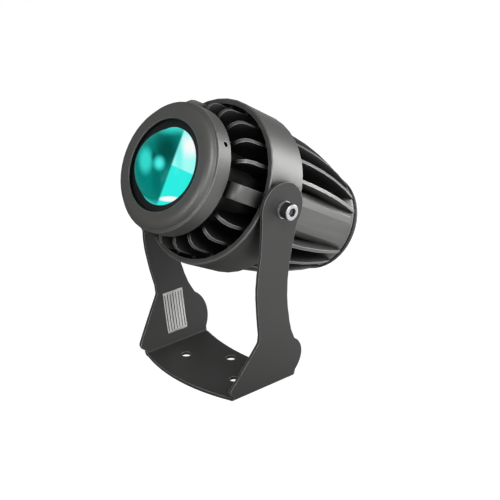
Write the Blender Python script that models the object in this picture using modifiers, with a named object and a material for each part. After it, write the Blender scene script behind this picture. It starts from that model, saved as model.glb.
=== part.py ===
# LED pinspot light on a yoke bracket, in metres, +Z up.
# The origin is on the underside of the bracket's base, straight below the tilt axis.
# The lens looks towards -Y and the tilt axis runs along X.
# The head is modelled along its own Z axis, the beam, and hangs on an empty on the tilt axis.

import math

import bmesh
import bpy
from mathutils import Matrix, Vector

MM = 0.001

# Clearances
seat_gap = 0.3 * MM
bore_gap = 0.3 * MM

# Tilt axis
pivot_height = 123.7 * MM
rest_tilt = 28.0

# Bracket, bent from one strip of sheet
sheet = 2.0 * MM
foot_half_width = 43.4 * MM
bend_radius = 3.0 * MM
arm_bow = 1.8
arm_flat_below_pivot = 17.5 * MM
arm_disc_radius = 16.4 * MM
base_front = 35.6 * MM
base_front_corner = 28.5 * MM
base_rear = 17.3 * MM
base_rear_corner = 23.6 * MM
tip_reach = 32.2 * MM
tip_height = 8.0 * MM
tip_notch = 1.8 * MM
tip_slope = 2.4 * MM
tip_under_inset = 0.9 * MM
tip_crown = 1.6 * MM
tip_crown_inset = 0.5 * MM
waist_front = 13.4 * MM
waist_height = 38.3 * MM
waist_lead = 1.2 * MM
waist_lead_drop = 2.4 * MM
arm_front = 19.0 * MM
arm_front_rise = 17.4 * MM
arm_rear = 6.0 * MM
arm_middle_height = 77.0 * MM
neck_front_drop = 6.0 * MM
neck_front_flare = 0.6 * MM
neck_rear_drop = 4.5 * MM
neck_rear_flare = 3.4 * MM
disc_tuck_front = 0.2 * MM
disc_tuck_front_drop = 2.0 * MM
disc_tuck_rear = 2.6 * MM
disc_tuck_rear_drop = 6.0 * MM
hollow_reach = 11.4 * MM
hollow_height = 46.0 * MM
bulge_reach = 26.3 * MM
bulge_height = 14.0 * MM
bulge_top_inset = 4.6 * MM
bulge_top_rise = 12.6 * MM
bulge_foot_drop = 8.4 * MM
mount_hole = 6.6 * MM
mount_spread = 23.7 * MM
mount_front = 10.0 * MM
mount_rear = 8.3 * MM

# Heat sink casting
neck_radius = 33.0 * MM
neck_wall = 4.1 * MM
neck_front = 44.0 * MM
core_front_radius = 32.0 * MM
core_radius = 24.5 * MM
core_wall = 3.0 * MM
core_taper_rear = -12.0 * MM
flange_radius = 32.2 * MM
flange_thickness = 2.4 * MM
flare_length = 22.5 * MM
bulkhead_front = 10.0 * MM
bulkhead_thickness = 14.0 * MM
fin_thickness = 2.2 * MM
fin_pitch = 17.5
fins_per_third = 5
fin_front = 29.8 * MM
fin_corner = 7.5 * MM
fin_end_radius = 33.0 * MM
fin_end_setback = 0.5 * MM
ring_front_radius = 52.5 * MM
ring_draft = 1.1 * MM
ring_wall = 3.7 * MM
ring_front = 12.1 * MM
ring_rear = -18.1 * MM
ring_edge = 0.6 * MM
fin_below_ring_bore = 2.4 * MM
tail_fin_below_ring = 4.4 * MM
rib_bite = 0.9 * MM
rib_inset = 2.0 * MM
rib_flare = 0.2 * MM
block_width = 10.0 * MM
block_front = 32.0 * MM
block_below_ring_bore = 0.8 * MM
block_corner = 6.0 * MM
block_edge = 1.2 * MM
pillar_below_ring_bore = 4.8 * MM
pillar_rear_height = 31.6 * MM
pillar_section = ((5.5 * MM, 0.0), (9.6 * MM, 1.2 * MM), (13.5 * MM, 4.0 * MM))
pillar_foot_half_width = 15.0 * MM

# Tilt pivots
pad_radius = 8.0 * MM
pad_proud = 0.2 * MM
friction_washer = 0.9 * MM
lock_washer = 1.6 * MM
lock_washer_radius = 5.4 * MM
lock_washer_split = 1.2 * MM
bolt_radius = 2.9 * MM
bolt_head_radius = 5.0 * MM
bolt_head = 6.0 * MM
bolt_socket = 2.9 * MM
bolt_socket_depth = 3.0 * MM
bolt_length = 18.0 * MM
bolt_head_edge = 0.5 * MM
bolt_hole_end_room = 2.0 * MM

# Bezel and optics
bezel_face = 50.6 * MM
bezel_rear = 34.8 * MM
bezel_radius = 40.2 * MM
bezel_opening = 28.5 * MM
bezel_lip = 2.7 * MM
bezel_flat = 4.3 * MM
bezel_shoulder_radius = 38.4 * MM
bezel_shoulder_drop = 3.7 * MM
bezel_ridge = 45.6 * MM
bezel_edge = 0.4 * MM
bezel_pocket = 31.2 * MM
bezel_gasket_thickness = 1.0 * MM
set_screw_station = 39.3 * MM
set_screw_angle = 36.5
set_screw_radius = 1.45 * MM
set_screw_length = 4.5 * MM
set_screw_socket = 0.8 * MM
set_screw_socket_depth = 1.5 * MM
retainer_thickness = 2.0 * MM
retainer_lens_gap = 0.4 * MM
retainer_taper = 0.8 * MM
lens_radius = 24.3 * MM
lens_height = 15.0 * MM
lens_power = 4.4
lens_flange_radius = 26.3 * MM
lens_flange = 1.7 * MM
lens_seal = 0.8 * MM
holder_wall = 2.2 * MM
holder_foot_radius = 17.0 * MM
holder_collar = 5.0 * MM

# Light engine
board_radius = 10.0 * MM
board_thickness = 1.6 * MM
pad_thickness = 0.5 * MM
emitter_side = 5.0 * MM
emitter_base = 0.8 * MM
emitter_dome = 2.2 * MM
board_screw_spread = 7.6 * MM
board_screw_radius = 1.35 * MM
board_screw_head = 2.7 * MM
board_screw_head_height = 1.9 * MM
board_screw_length = 8.0 * MM
lead_radius = 0.8 * MM
lead_spacing = 2.8 * MM
lead_hole = 2.9 * MM
lead_hole_offset = 13.0 * MM
lead_start = 6.2 * MM
lead_crest = 9.0 * MM

# Driver
cradle_wall = 1.5 * MM
cradle_length = 84.0 * MM
cradle_end_room = 6.6 * MM
cradle_rise = 14.0
ledge_width = 2.4 * MM
ledge_height = 2.0 * MM
driver_board_drop = 7.7 * MM
driver_board_half_width = 17.2 * MM
driver_board_thickness = 1.6 * MM
driver_board_length = 68.0 * MM
driver_board_start = -10.0 * MM
terminal_size = (10.0 * MM, 8.2 * MM, 8.0 * MM)
terminal_inset = 1.0 * MM
core_size = (17.0 * MM, 13.0 * MM, 12.4 * MM)
winding_size = (12.8 * MM, 10.2 * MM, 20.0 * MM)
winding_lift = 1.0 * MM
transformer_setback = 31.3 * MM
capacitor_radius = 5.0 * MM
capacitor_height = 12.5 * MM
capacitor_inset = 2.0 * MM
capacitor_setback = 51.0 * MM
inductor_radius = 4.4 * MM
inductor_height = 7.5 * MM
inductor_inset = 2.5 * MM
inductor_setback = 16.3 * MM
inductor_rim = 1.35 * MM
inductor_waist_radius = 3.5 * MM

# Rear cover and cable gland
gasket_thickness = 0.8 * MM
gasket_radius = 31.5 * MM
gasket_bore = 22.4 * MM
cover_radius = 32.7 * MM
cover_thickness = 4.0 * MM
cover_round = 2.8 * MM
cover_front_edge = 0.8 * MM
cover_screw_circle = 26.6 * MM
cover_screw_radius = 1.45 * MM
cover_screw_head = 2.7 * MM
cover_screw_head_height = 1.8 * MM
cover_screw_length = 11.0 * MM
cover_screw_sunk = 0.4 * MM
gland_bore = 3.9 * MM
gland_thread = 5.8 * MM
gland_hex = 8.4 * MM
gland_hex_thickness = 4.5 * MM
gland_spigot = 4.6 * MM
gland_inner_thread = 9.0 * MM
gland_nut_radius = 7.4 * MM
gland_nut_length = 10.4 * MM
gland_nut_wall = 1.5 * MM
gland_nut_straight = 5.7 * MM
gland_nut_crown = 9.2 * MM
gland_nut_crown_drop = 1.1 * MM
gland_tip_room = 0.2 * MM
gland_seal_length = 2.6 * MM
locknut_thickness = 3.0 * MM

# Places that follow from the sizes above
tilt_turn = math.radians(90.0 - rest_tilt)
pad_face = ring_front_radius + pad_proud
arm_inner = pad_face + 2 * seat_gap + friction_washer
arm_outer = arm_inner + sheet
arm_flat_height = pivot_height - arm_flat_below_pivot
arm_top = pivot_height + arm_disc_radius
front_chamber = neck_radius - neck_wall
rear_chamber = core_radius - core_wall
bulkhead_rear = bulkhead_front - bulkhead_thickness
cradle_front = bulkhead_rear - seat_gap
cradle_rear = cradle_front - cradle_length
body_rear = cradle_rear - cradle_end_room
flange_front = body_rear + flange_thickness
flare_start = flange_front + flare_length
ring_rear_radius = ring_front_radius - ring_draft
ring_bore = ring_front_radius - ring_wall
fin_front_radius = ring_bore - fin_below_ring_bore
fin_rear_radius = ring_rear_radius - tail_fin_below_ring
block_radius = ring_bore - block_below_ring_bore
pillar_front_height = ring_bore - pillar_below_ring_bore
rib_reach = ring_bore + rib_bite
rib_root_front = 0.5 * (front_chamber + core_front_radius)
rib_root_rear = 0.5 * (rear_chamber + core_radius)
bezel_bore = neck_radius + bore_gap
bezel_gasket_rear = neck_front + seat_gap
bezel_shoulder = bezel_gasket_rear + bezel_gasket_thickness + seat_gap
lip_rear = bezel_face - bezel_lip
retainer_front = lip_rear - seat_gap
retainer_rear = retainer_front - retainer_thickness
flange_top = retainer_rear - seat_gap
lens_back = flange_top - lens_flange
seal_centre = lens_back - seat_gap - lens_seal
holder_ledge = seal_centre - lens_seal - seat_gap
holder_outer = front_chamber - bore_gap
holder_seat = lens_flange_radius + bore_gap
pad_rear = bulkhead_front + seat_gap
board_rear = pad_rear + pad_thickness + seat_gap
board_front = board_rear + board_thickness
gasket_front = body_rear - seat_gap
cover_front = gasket_front - gasket_thickness - seat_gap
cover_rear = cover_front - cover_thickness
driver_board_top = -driver_board_drop + driver_board_thickness
third = math.radians(120.0)
sides = ((-1, "left"), (1, "right"))

fine_steps = 48
body_steps = 40
middle_steps = 32
small_steps = 24
hole_steps = 16
screw_steps = 12


def clear_scene():
    for thing in list(bpy.data.objects):
        bpy.data.objects.remove(thing, do_unlink=True)


def new_collection(name):
    collection = bpy.data.collections.new(name)
    bpy.context.scene.collection.children.link(collection)
    return collection


def make_material(name, colour, roughness, metallic):
    material = bpy.data.materials.new(name)
    material.use_nodes = True
    shader = material.node_tree.nodes["Principled BSDF"]
    shader.inputs["Base Color"].default_value = (*colour, 1.0)
    shader.inputs["Roughness"].default_value = roughness
    shader.inputs["Metallic"].default_value = metallic
    material.diffuse_color = (*colour, 1.0)
    return material


def mesh_object(name, mesh):
    thing = bpy.data.objects.new(name, mesh)
    cutters.objects.link(thing)
    thing.hide_render = True
    thing.display_type = "WIRE"
    return thing


def finish_part(thing, material, parent=None):
    """Turn a working shape into a named part of the light."""
    cutters.objects.unlink(thing)
    parts.objects.link(thing)
    thing.hide_render = False
    thing.display_type = "TEXTURED"
    thing.data.materials.clear()
    thing.data.materials.append(material)
    thing.data.shade_smooth()
    thing.data.set_sharp_from_angle(angle=math.radians(35.0))
    thing.parent = parent
    return thing


def turned(name, profile, closed=False, steps=fine_steps):
    """Solid of revolution about Z. The profile runs down its outer side."""
    shape = bmesh.new()
    points = [shape.verts.new((radius, 0.0, height)) for radius, height in profile]
    for first, second in zip(points, points[1:]):
        shape.edges.new((first, second))
    if closed:
        shape.edges.new((points[-1], points[0]))
    mesh = bpy.data.meshes.new(name)
    shape.to_mesh(mesh)
    shape.free()
    thing = mesh_object(name, mesh)
    screw = thing.modifiers.new("turn", "SCREW")
    screw.steps = steps
    screw.render_steps = steps
    screw.use_merge_vertices = True
    screw.merge_threshold = 0.00001
    return thing


def ring_profile(inner, outer, low, high):
    """Closed rectangle for a plain turned ring."""
    return [(inner, high), (outer, high), (outer, low), (inner, low)]


def applied(thing, transform=None):
    """Make a shape's modifiers and transform part of its mesh."""
    bpy.context.view_layer.update()
    evaluated = thing.evaluated_get(bpy.context.evaluated_depsgraph_get())
    mesh = bpy.data.meshes.new_from_object(evaluated)
    mesh.transform(thing.matrix_world)
    if transform is not None:
        mesh.transform(transform)
    name = thing.name
    bpy.data.objects.remove(thing, do_unlink=True)
    baked = mesh_object(name, mesh)
    baked.name = name
    return baked


def flat_piece(name, outlines, thickness, transform=None):
    """Flat outline, with any holes, of one thickness. Each outline is a list of (x, y, kind).

    A kind of VECTOR is a sharp corner and AUTO is a smooth point.
    """
    curve = bpy.data.curves.new(name, "CURVE")
    curve.dimensions = "2D"
    curve.fill_mode = "BOTH"
    curve.extrude = thickness / 2
    curve.resolution_u = 3
    for outline in outlines:
        spline = curve.splines.new("BEZIER")
        spline.bezier_points.add(len(outline) - 1)
        spline.use_cyclic_u = True
        for point, (x, y, kind) in zip(spline.bezier_points, outline):
            point.co = (x, y, 0.0)
            point.handle_left_type = kind
            point.handle_right_type = kind
    thing = bpy.data.objects.new(name, curve)
    cutters.objects.link(thing)
    return welded(applied(thing, transform))


def welded(thing):
    """Join the loose edges that a curve's mesh comes with."""
    shape = bmesh.new()
    shape.from_mesh(thing.data)
    bmesh.ops.remove_doubles(shape, verts=shape.verts, dist=0.000001)
    bmesh.ops.recalc_face_normals(shape, faces=shape.faces)
    shape.to_mesh(thing.data)
    shape.free()
    return thing


def corners(points):
    return [(x, y, "VECTOR") for x, y in points]


def circle(radius, x=0.0, y=0.0, steps=screw_steps):
    angles = [2 * math.pi * step / steps for step in range(steps)]
    return corners([(x + radius * math.cos(a), y + radius * math.sin(a)) for a in angles])


def rounded_corner(centre, radius, start, end, steps=5):
    """Points of an arc from start to end, angles in degrees."""
    angles = [math.radians(start + (end - start) * step / steps) for step in range(steps + 1)]
    return [(centre[0] + radius * math.cos(a), centre[1] + radius * math.sin(a)) for a in angles]


def box(name, size, centre):
    shape = bmesh.new()
    bmesh.ops.create_cube(shape, size=1.0)
    bmesh.ops.scale(shape, vec=Vector(size), verts=shape.verts)
    bmesh.ops.translate(shape, vec=Vector(centre), verts=shape.verts)
    mesh = bpy.data.meshes.new(name)
    shape.to_mesh(mesh)
    shape.free()
    return mesh_object(name, mesh)


def rod(name, radius, start, end, steps=hole_steps, turn=0.0):
    """Cylinder from start to end. With six steps it is a hexagon of that corner radius."""
    start = Vector(start)
    end = Vector(end)
    along = end - start
    shape = bmesh.new()
    bmesh.ops.create_cone(
        shape, cap_ends=True, segments=steps, radius1=radius, radius2=radius, depth=along.length
    )
    place = Matrix.Translation((start + end) / 2)
    aim = along.to_track_quat("Z", "Y").to_matrix().to_4x4()
    bmesh.ops.transform(shape, matrix=place @ aim @ Matrix.Rotation(turn, 4, "Z"), verts=shape.verts)
    mesh = bpy.data.meshes.new(name)
    shape.to_mesh(mesh)
    shape.free()
    return mesh_object(name, mesh)


def merged(name, things):
    """Several shapes that don't touch, as one object."""
    shape = bmesh.new()
    for thing in things:
        baked = applied(thing)
        shape.from_mesh(baked.data)
        bpy.data.objects.remove(baked, do_unlink=True)
    mesh = bpy.data.meshes.new(name)
    shape.to_mesh(mesh)
    shape.free()
    return mesh_object(name, mesh)


def boolean(thing, other, operation):
    modifier = thing.modifiers.new(other.name, "BOOLEAN")
    modifier.operation = operation
    modifier.solver = "EXACT"
    modifier.object = other
    if thing.parent is not None:
        other.parent = thing.parent
    return thing


def thirds(make):
    """Three copies of a shape, turned about the beam axis."""
    return [applied(make(), Matrix.Rotation(third * turn, 4, "Z")) for turn in range(3)]


def polar(radius, angle, height):
    return Vector((radius * math.cos(angle), radius * math.sin(angle), height))


def arm_half_width(height):
    """Outer face of an arm: splayed at the foot, sprung upright towards the pivot."""
    if height >= arm_flat_height:
        return arm_outer
    rise = 1.0 - height / arm_flat_height
    return arm_outer - (arm_outer - foot_half_width) * rise ** arm_bow


def bracket_strip():
    """The bent strip before its outline is cut, as an outer surface with thickness inwards."""
    heights = [bend_radius]
    slices = 8
    for step in range(1, slices + 1):
        heights.append(bend_radius + (arm_flat_height - bend_radius) * step / slices)
    side = [(arm_half_width(height), height) for height in heights]
    side.append((arm_outer, arm_top + sheet))
    bend_centre = side[0][0] - bend_radius
    bend = rounded_corner((bend_centre, bend_radius), bend_radius, -90.0, 0.0, 5)
    half = bend[:-1] + side
    path = [(-x, z) for x, z in reversed(half)] + half
    depth = 2 * max(base_front, tip_reach, base_rear_corner, bulge_reach)
    shape = bmesh.new()
    row = [shape.verts.new((x, -depth / 2, z)) for x, z in path]
    edges = [shape.edges.new(pair) for pair in zip(row, row[1:])]
    grown = bmesh.ops.extrude_edge_only(shape, edges=edges)
    moved = [item for item in grown["geom"] if isinstance(item, bmesh.types.BMVert)]
    bmesh.ops.translate(shape, vec=(0.0, depth, 0.0), verts=moved)
    mesh = bpy.data.meshes.new("bracket")
    shape.to_mesh(mesh)
    shape.free()
    strip = mesh_object("bracket", mesh)
    thicken = strip.modifiers.new("sheet", "SOLIDIFY")
    thicken.thickness = sheet
    thicken.offset = -1.0
    thicken.use_even_offset = True
    return strip, depth


def arm_outline():
    """Side view of an arm, as (y, z), from its front foot round to its rear foot."""
    neck = pivot_height - arm_disc_radius
    middle = arm_middle_height
    below = -2 * sheet
    return [
        (-base_front_corner, below, "VECTOR"),
        (-base_front_corner, tip_height - tip_notch - tip_slope, "VECTOR"),
        (-tip_reach + tip_under_inset, tip_height - tip_slope, "VECTOR"),
        (-tip_reach, tip_height, "VECTOR"),
        (-tip_reach + tip_crown_inset, tip_height + tip_crown, "VECTOR"),
        (-waist_front - waist_lead, waist_height - waist_lead_drop, "VECTOR"),
        (-waist_front, waist_height, "AUTO"),
        (-0.5 * (waist_front + arm_front), waist_height + arm_front_rise, "AUTO"),
        (-arm_front, middle, "AUTO"),
        (-arm_disc_radius - neck_front_flare, neck - neck_front_drop, "AUTO"),
        (-arm_disc_radius + disc_tuck_front, pivot_height - disc_tuck_front_drop, "VECTOR"),
        (arm_disc_radius - disc_tuck_rear, pivot_height - disc_tuck_rear_drop, "VECTOR"),
        (arm_rear + neck_rear_flare, neck - neck_rear_drop, "AUTO"),
        (arm_rear, middle - 1.0 * MM, "AUTO"),
        (hollow_reach, hollow_height, "AUTO"),
        (bulge_reach - bulge_top_inset, bulge_height + bulge_top_rise, "AUTO"),
        (bulge_reach, bulge_height, "AUTO"),
        (base_rear_corner, bulge_height - bulge_foot_drop, "AUTO"),
        (base_rear_corner, below, "VECTOR"),
    ]


def arc_between(x_end, y_end, y_middle, steps=12):
    """Arc through both corners of an edge and its middle, from -x to +x."""
    rise = y_middle - y_end
    radius = (x_end ** 2 + rise ** 2) / (2 * abs(rise))
    centre = y_middle - math.copysign(radius, rise)
    points = []
    for step in range(steps + 1):
        x = -x_end + 2 * x_end * step / steps
        points.append((x, centre + math.copysign(math.sqrt(radius ** 2 - x ** 2), rise)))
    return points


def make_bracket():
    strip, depth = bracket_strip()
    edge = foot_half_width - bend_radius
    overlap = 0.4 * MM
    plan = arc_between(edge + overlap, -base_front_corner, -base_front)
    plan += list(reversed(arc_between(edge + overlap, base_rear_corner, base_rear)))
    keep = flat_piece("base outline", [corners(plan)], 6 * sheet)
    reach = arm_outer + 4 * sheet
    width = reach - edge
    # Local x, y and z of an arm's outline go to world y, z and x.
    side_on = Matrix(((0, 0, 1, 0), (1, 0, 0, 0), (0, 1, 0, 0), (0, 0, 0, 1)))
    for side in (-1, 1):
        place = Matrix.Translation((side * (edge + width / 2), 0.0, 0.0))
        boolean(keep, flat_piece("arm outline", [arm_outline()], width, place @ side_on), "UNION")
        centre = Vector((side * (edge + width / 2), 0.0, pivot_height))
        half = Vector((width / 2 - overlap, 0.0, 0.0))
        disc = rod("arm disc", arm_disc_radius, centre - half, centre + half, fine_steps, 0.01)
        boolean(keep, disc, "UNION")
    boolean(strip, applied(keep), "INTERSECT")
    holes = []
    for x, y in ((-mount_spread, -mount_front), (mount_spread, -mount_front), (0.0, mount_rear)):
        holes.append(rod("mount hole", mount_hole / 2, (x, y, -sheet), (x, y, 2 * sheet)))
    for side in (-1, 1):
        start = (side * (arm_inner - sheet), 0.0, pivot_height)
        end = (side * (arm_outer + sheet), 0.0, pivot_height)
        holes.append(rod("bolt hole", bolt_radius + bore_gap, start, end))
    boolean(strip, merged("bracket holes", holes), "DIFFERENCE")
    return finish_part(strip, paint)


def rib_outline(front, front_radius, corner):
    """Side view of a rib, as (radius, station), joined to the core inside and to the ring."""
    arc = rounded_corner((front_radius - corner, front - corner), corner, 90.0, 0.0, 3)
    points = [
        (rib_root_rear, flange_front),
        (rib_root_rear, bulkhead_rear),
        (rib_root_front, bulkhead_front - rib_inset),
        (rib_root_front, front),
    ]
    points += arc
    points += [
        (front_radius + rib_flare, ring_front - rib_inset),
        (rib_reach, ring_front - rib_inset),
        (rib_reach, ring_rear + rib_inset),
    ]
    return points


def fin_outline():
    """A whole fin: the front rib, the ring joint and the tail that narrows to the flange."""
    points = rib_outline(fin_front, fin_front_radius, fin_corner)
    tail = ring_rear - body_rear
    steps = 5
    points.append((fin_rear_radius, ring_rear + rib_inset))
    for step in range(steps + 1):
        share = step / steps
        drop = (fin_rear_radius - fin_end_radius) * share ** 2
        points.append((fin_rear_radius - drop, ring_rear - tail * share))
    points[-1] = (fin_end_radius, body_rear + fin_end_setback)
    points.append((rib_root_rear, body_rear + fin_end_setback))
    return points[1:]


def standing(name, outline, thickness, angle):
    """A flat outline of (radius, station) stood on the beam axis at an angle."""
    upright = Matrix.Rotation(math.radians(90.0), 4, "X")
    return flat_piece(name, [corners(outline)], thickness, Matrix.Rotation(angle, 4, "Z") @ upright)


def make_heat_sink():
    core = turned("heat_sink_body", [
        (0.0, bulkhead_front),
        (front_chamber, bulkhead_front),
        (front_chamber, neck_front),
        (neck_radius - 0.4 * MM, neck_front),
        (neck_radius, neck_front - 0.4 * MM),
        (neck_radius, fin_front - 1.0 * MM),
        (core_front_radius, bulkhead_front),
        (core_radius, core_taper_rear),
        (core_radius, flare_start),
        (flange_radius, flange_front),
        (flange_radius, body_rear),
        (rear_chamber, body_rear),
        (rear_chamber, bulkhead_rear),
        (0.0, bulkhead_rear),
    ], steps=body_steps)
    core.parent = head
    fins = []
    middle = (fins_per_third - 1) / 2
    for group in range(3):
        for number in range(fins_per_third):
            angle = math.radians(60.0 + 120.0 * group + fin_pitch * (number - middle))
            fins.append(standing("fin", fin_outline(), fin_thickness, angle))
    boolean(core, merged("fins", fins), "UNION")
    pillars = thirds(make_pillar)
    boolean(core, merged("pillars", pillars), "UNION")
    blocks = merged("blocks", [make_block(third * turn) for turn in range(3)])
    boolean(core, blocks, "UNION")
    boolean(core, make_ring(), "UNION")
    pads = []
    for side in (-1, 1):
        inner = (side * (ring_bore + 0.5 * ring_wall), 0.0, 0.0)
        pads.append(rod("pivot pad", pad_radius, inner, (side * pad_face, 0.0, 0.0), small_steps, 0.02))
    boolean(core, merged("pivot pads", pads), "UNION")
    boolean(core, merged("heat sink holes", heat_sink_holes()), "DIFFERENCE")
    return finish_part(core, paint, head)


def make_block(angle):
    """Wide front rib that stands where two groups of fins meet."""
    outline = rib_outline(block_front, block_radius, block_corner)[1:]
    outline.append((rib_root_rear, ring_rear + rib_inset))
    block = standing("block", outline, block_width, angle)
    soften = block.modifiers.new("edges", "BEVEL")
    soften.width = block_edge
    soften.segments = 2
    soften.limit_method = "ANGLE"
    soften.angle_limit = math.radians(60.0)
    return block


def make_ring():
    slope = (ring_front_radius - ring_rear_radius) / (ring_front - ring_rear)
    front_edge = ring_front_radius - slope * ring_edge
    rear_edge = ring_rear_radius + slope * ring_edge
    return turned("ring", [
        (ring_bore, ring_front - ring_edge / 2),
        (ring_bore + ring_edge / 2, ring_front),
        (ring_front_radius - ring_edge, ring_front),
        (front_edge, ring_front - ring_edge),
        (rear_edge, ring_rear + ring_edge),
        (ring_rear_radius - ring_edge, ring_rear),
        (ring_bore, ring_rear),
    ], closed=True, steps=body_steps)


def make_pillar():
    """Ridge along the tail that takes a screw of the rear cover. It gets lower towards the rear."""
    foot = math.sqrt(core_radius ** 2 - pillar_foot_half_width ** 2) - 0.5 * MM
    half = [(pillar_rear_height - drop, width) for width, drop in pillar_section]
    half.append((foot, pillar_foot_half_width))
    section = [(height, -width) for height, width in reversed(half)] + half + [(rib_root_rear, 0.0)]
    front = ring_rear + 3.0 * MM
    rear = body_rear + 0.4 * MM
    length = front - rear
    place = Matrix.Translation((0.0, 0.0, (front + rear) / 2))
    pillar = flat_piece("pillar", [corners(section)], length, place)
    rise = pillar_front_height - pillar_rear_height
    shape = bmesh.new()
    shape.from_mesh(pillar.data)
    for corner in shape.verts:
        if corner.co.x > foot + 0.1 * MM:
            corner.co.x += rise * (corner.co.z - rear) / length
    # The slope twists the sides a little, so they are split before any boolean sees them.
    bmesh.ops.triangulate(shape, faces=shape.faces)
    shape.to_mesh(pillar.data)
    shape.free()
    return pillar


def heat_sink_holes():
    holes = []
    for side in (-1, 1):
        start = (side * (arm_outer - bolt_length - bolt_hole_end_room), 0.0, 0.0)
        end = (side * (pad_face + 1.0 * MM), 0.0, 0.0)
        holes.append(rod("pivot hole", bolt_radius + bore_gap, start, end))
        x = side * board_screw_spread
        low = (x, 0.0, board_front + seat_gap - board_screw_length - 1.0 * MM)
        high = (x, 0.0, bulkhead_front + 1.0 * MM)
        holes.append(rod("board hole", board_screw_radius + bore_gap, low, high, screw_steps))
    y = lead_hole_offset
    holes.append(rod(
        "lead hole", lead_hole, (0.0, y, bulkhead_rear - 1.0 * MM), (0.0, y, bulkhead_front + 1.0 * MM)
    ))
    for turn in range(3):
        low = polar(cover_screw_circle, third * turn, body_rear - 1.0 * MM)
        high = polar(cover_screw_circle, third * turn, cover_rear + cover_screw_length + 2.0 * MM)
        holes.append(rod("cover hole", cover_screw_radius + bore_gap, low, high, screw_steps))
    return holes


def make_bezel():
    flat_end = bezel_opening + bezel_flat
    shoulder_width = bezel_shoulder_radius - flat_end
    shoulder = []
    steps = 5
    for step in range(steps + 1):
        angle = math.pi / 2 * step / steps
        radius = flat_end + shoulder_width * math.sin(angle)
        shoulder.append((radius, bezel_face - bezel_shoulder_drop * (1 - math.cos(angle))))
    cove = bezel_radius - bezel_shoulder_radius
    profile = [(bezel_opening, bezel_face - bezel_edge), (bezel_opening + bezel_edge, bezel_face)]
    profile += shoulder
    profile += [
        (bezel_shoulder_radius + 0.2 * cove, bezel_ridge + bezel_edge + 0.25 * MM),
        (bezel_radius - bezel_edge, bezel_ridge + bezel_edge),
        (bezel_radius, bezel_ridge),
        (bezel_radius, bezel_rear + bezel_edge),
        (bezel_radius - bezel_edge, bezel_rear),
        (bezel_bore, bezel_rear),
        (bezel_bore, bezel_shoulder),
        (bezel_pocket, bezel_shoulder),
        (bezel_pocket, lip_rear),
        (bezel_opening, lip_rear),
    ]
    bezel = turned("front_bezel", profile, closed=True)
    bezel.parent = head
    angle = math.radians(set_screw_angle)
    start = polar(bezel_bore - 2.0 * MM, angle, set_screw_station)
    end = polar(bezel_radius + 2.0 * MM, angle, set_screw_station)
    boolean(bezel, rod("set screw hole", set_screw_radius + bore_gap, start, end), "DIFFERENCE")
    return finish_part(bezel, paint, head)


def make_set_screw():
    angle = math.radians(set_screw_angle)
    start = neck_radius + seat_gap
    end = start + set_screw_length
    inner_end = polar(start, angle, set_screw_station)
    screw = rod("bezel_set_screw", set_screw_radius, inner_end, polar(end, angle, set_screw_station))
    screw.parent = head
    socket_start = polar(end - set_screw_socket_depth, angle, set_screw_station)
    socket_end = polar(end + 1.0 * MM, angle, set_screw_station)
    boolean(screw, rod("set screw socket", set_screw_socket, socket_start, socket_end, 6), "DIFFERENCE")
    return finish_part(screw, black_steel, head)


def make_optics():
    gasket_high = bezel_gasket_rear + bezel_gasket_thickness
    gasket = turned(
        "bezel_gasket", ring_profile(bezel_pocket, neck_radius - 0.4 * MM, bezel_gasket_rear, gasket_high),
        closed=True, steps=middle_steps
    )
    finish_part(gasket, rubber, head)
    bore = lens_radius + retainer_lens_gap
    retainer = turned("lens_retainer", [
        (bore - retainer_taper, retainer_front),
        (bezel_pocket - bore_gap, retainer_front),
        (bezel_pocket - bore_gap, retainer_rear),
        (bore, retainer_rear),
    ], closed=True)
    finish_part(retainer, black_plastic, head)
    dome = []
    steps = 10
    for step in range(steps + 1):
        share = math.sin(math.pi / 2 * step / steps)
        dome.append((lens_radius * share, flange_top + lens_height * (1 - share ** lens_power)))
    lens = turned("lens", dome + [
        (lens_flange_radius, flange_top),
        (lens_flange_radius, lens_back),
        (0.0, lens_back),
    ])
    finish_part(lens, glass, head)
    bpy.ops.mesh.primitive_torus_add(
        major_radius=lens_flange_radius - 2 * lens_seal, minor_radius=lens_seal, major_segments=small_steps,
        minor_segments=6, location=(0.0, 0.0, seal_centre)
    )
    seal = applied(bpy.context.object)
    seal.name = "lens_seal"
    finish_part(seal, rubber, head)
    collar_inner = holder_seat - 3.5 * MM
    shoulder = holder_ledge - holder_collar
    holder = turned("lens_holder", [
        (holder_seat, flange_top),
        (holder_outer, flange_top),
        (holder_outer, shoulder),
        (collar_inner + holder_wall, shoulder),
        (holder_foot_radius + holder_wall, bulkhead_front + seat_gap),
        (holder_foot_radius, bulkhead_front + seat_gap),
        (collar_inner, shoulder),
        (collar_inner, holder_ledge),
        (holder_seat, holder_ledge),
    ], closed=True, steps=small_steps)
    finish_part(holder, black_plastic, head)


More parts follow.
